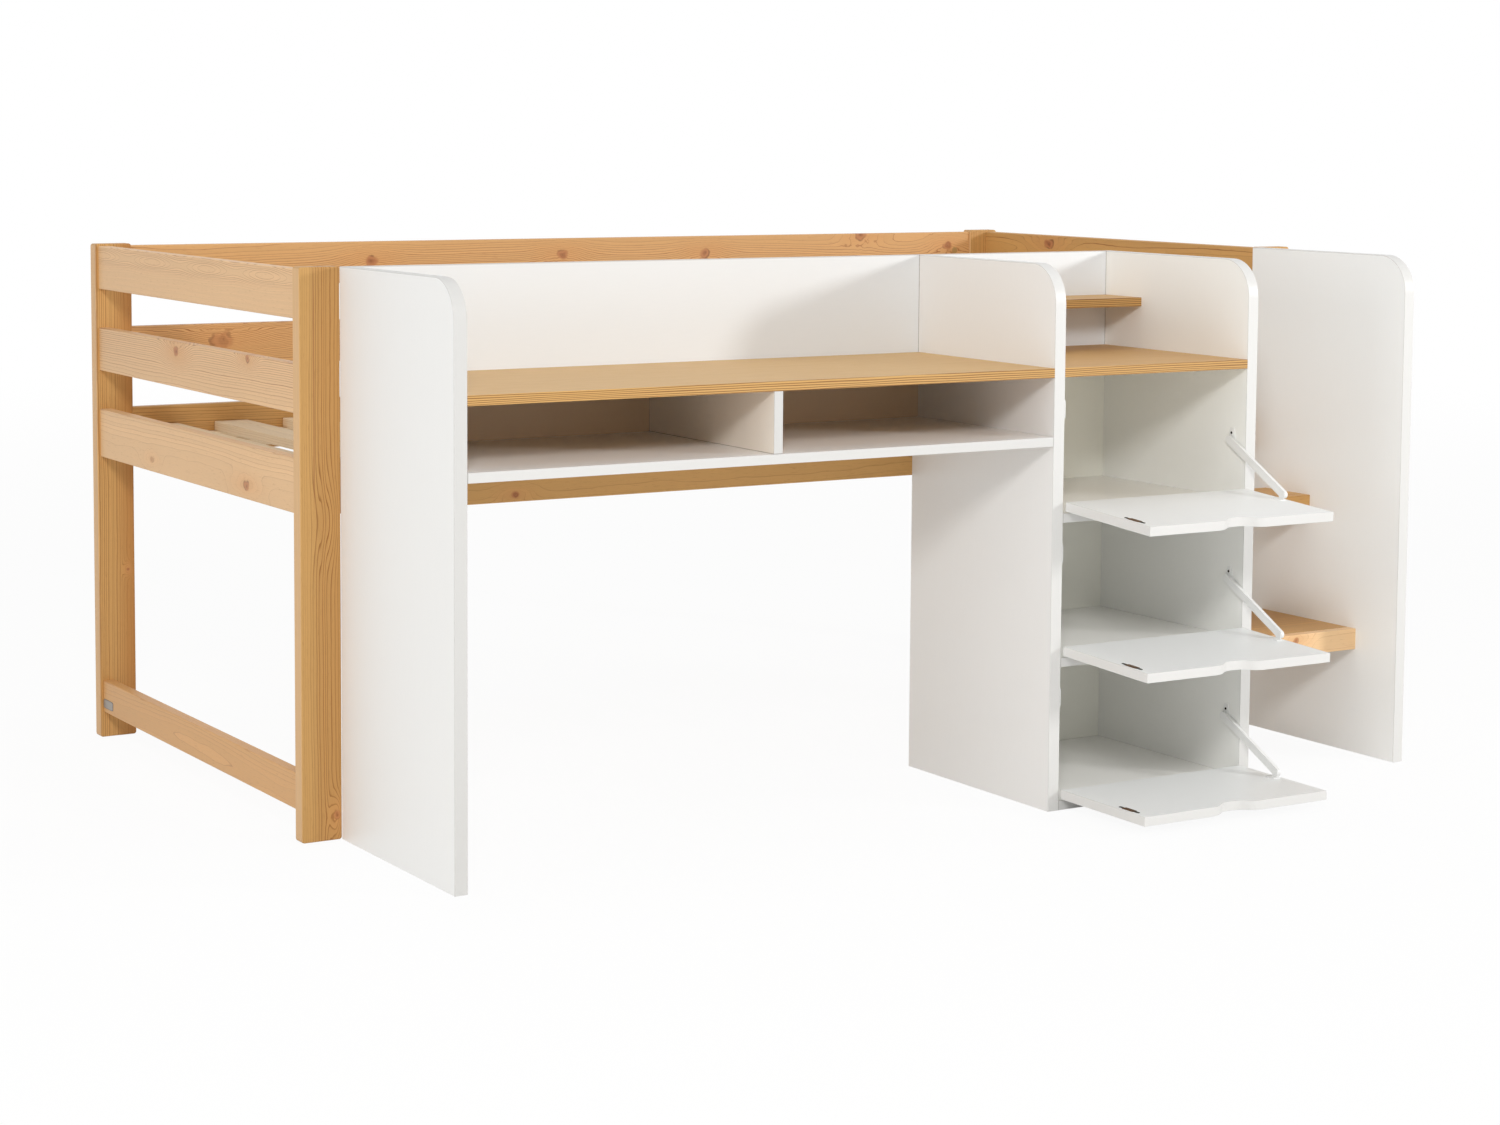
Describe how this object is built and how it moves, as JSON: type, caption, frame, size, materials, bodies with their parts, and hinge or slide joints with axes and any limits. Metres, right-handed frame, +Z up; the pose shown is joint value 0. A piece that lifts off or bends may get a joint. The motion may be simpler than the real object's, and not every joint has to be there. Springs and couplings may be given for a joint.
{
  "type": "cabin bed",
  "caption": "Low cabin bed in pine with guard rails and slats, fronted by a white desk with cubbies, a column of drop-down flaps on stays, and steps up to the mattress.",
  "frame": {"origin": "on the floor, under the middle of the bed's box with its flaps open", "axes": "+X along the bed from the desk end to the step end, +Y from the flaps to the back, +Z up"},
  "size_m": [2.068, 1.6363, 0.93],
  "materials": {
    "pine": "honey varnish, satin",
    "raw_pine": "planed, bare",
    "worktop_laminate": "satin laminate",
    "white_melamine": "fine-grained white melamine",
    "dowel_wood": "bare beech",
    "zinc_steel": "zinc plated",
    "white_metal": "white enamel",
    "dark_metal": "dark bronze",
    "black_plastic": "matte",
    "plate_metal": "brushed, blank"
  },
  "bodies": {
    "bed_frame": {"front_left_post": "pine", "front_right_post": "pine", "back_left_post": "pine", "back_right_post": "pine", "left_top_rail": "pine", "left_middle_rail": "pine", "left_bed_rail": "pine", "left_floor_rail": "pine", "right_top_rail": "pine", "right_middle_rail": "pine", "right_bed_rail": "pine", "right_floor_rail": "pine", "front_bed_rail": "pine", "back_bed_rail": "pine", "back_middle_rail": "pine", "back_top_rail": "pine", "lower_tread": "pine", "lower_step_front": "pine", "upper_tread": "pine", "upper_step_front": "pine", "front_slat_cleat": "raw_pine", "back_slat_cleat": "raw_pine", "bed_slats": "raw_pine", "step_cleats": "raw_pine", "desk_top": "worktop_laminate", "column_worktop": "worktop_laminate", "small_shelf": "worktop_laminate", "left_panel": "white_melamine", "column_left_panel": "white_melamine", "column_right_panel": "white_melamine", "right_panel": "white_melamine", "desk_back_panel": "white_melamine", "column_back_panel": "white_melamine", "desk_shelf": "white_melamine", "desk_divider": "white_melamine", "column_floor": "white_melamine", "lower_column_shelf": "white_melamine", "upper_column_shelf": "white_melamine", "end_rail_dowels": "dowel_wood", "board_dowels": "dowel_wood", "side_rail_studs": "zinc_steel", "side_rail_nuts": "zinc_steel", "carcass_screws": "zinc_steel", "shelf_hinge_leaves": "white_metal", "stay_brackets": "white_metal", "stay_bracket_screws": "dark_metal", "magnetic_catches": "black_plastic", "blank_plate": "plate_metal"},
    "lower_flap_body": {"lower_flap": "white_melamine", "lower_flap_fittings": "white_metal", "lower_strike_plate": "dark_metal"},
    "lower_stay_body": {"lower_stay": "white_metal"},
    "middle_flap_body": {"middle_flap": "white_melamine", "middle_flap_fittings": "white_metal", "middle_strike_plate": "dark_metal"},
    "middle_stay_body": {"middle_stay": "white_metal"},
    "upper_flap_body": {"upper_flap": "white_melamine", "upper_flap_fittings": "white_metal", "upper_strike_plate": "dark_metal"},
    "upper_stay_body": {"upper_stay": "white_metal"}
  },
  "joints": [
    {"name": "lower_flap_hinge", "type": "hinge", "parent": "bed_frame", "child": "lower_flap_body", "pos_m": [0.372, -0.59082, 0.018], "axis": [-1, 0, 0], "range_deg": [0, 90.4]},
    {"name": "lower_stay_pivot", "type": "hinge", "parent": "lower_flap_body", "child": "lower_stay_body", "pos_m": [0.5665, -0.6945, 0.04328], "axis": [1, 0, 0], "range_deg": [0, 45.42]},
    {"name": "middle_flap_hinge", "type": "hinge", "parent": "bed_frame", "child": "middle_flap_body", "pos_m": [0.372, -0.59082, 0.26467], "axis": [-1, 0, 0], "range_deg": [0, 92.6]},
    {"name": "middle_stay_pivot", "type": "hinge", "parent": "middle_flap_body", "child": "middle_stay_body", "pos_m": [0.5665, -0.69539, 0.28595], "axis": [1, 0, 0], "range_deg": [0, 46.52]},
    {"name": "upper_flap_hinge", "type": "hinge", "parent": "bed_frame", "child": "upper_flap_body", "pos_m": [0.372, -0.59082, 0.51133], "axis": [-1, 0, 0], "range_deg": [0, 93.9]},
    {"name": "upper_stay_pivot", "type": "hinge", "parent": "upper_flap_body", "child": "upper_stay_body", "pos_m": [0.5665, -0.69585, 0.53023], "axis": [1, 0, 0], "range_deg": [0, 47.17]}
  ],
  "couplings": [
    {"joint": "lower_stay_pivot", "follows": "lower_flap_hinge", "ratio": 0.5013},
    {"joint": "middle_stay_pivot", "follows": "middle_flap_hinge", "ratio": 0.50127},
    {"joint": "upper_stay_pivot", "follows": "upper_flap_hinge", "ratio": 0.50126}
  ]
}
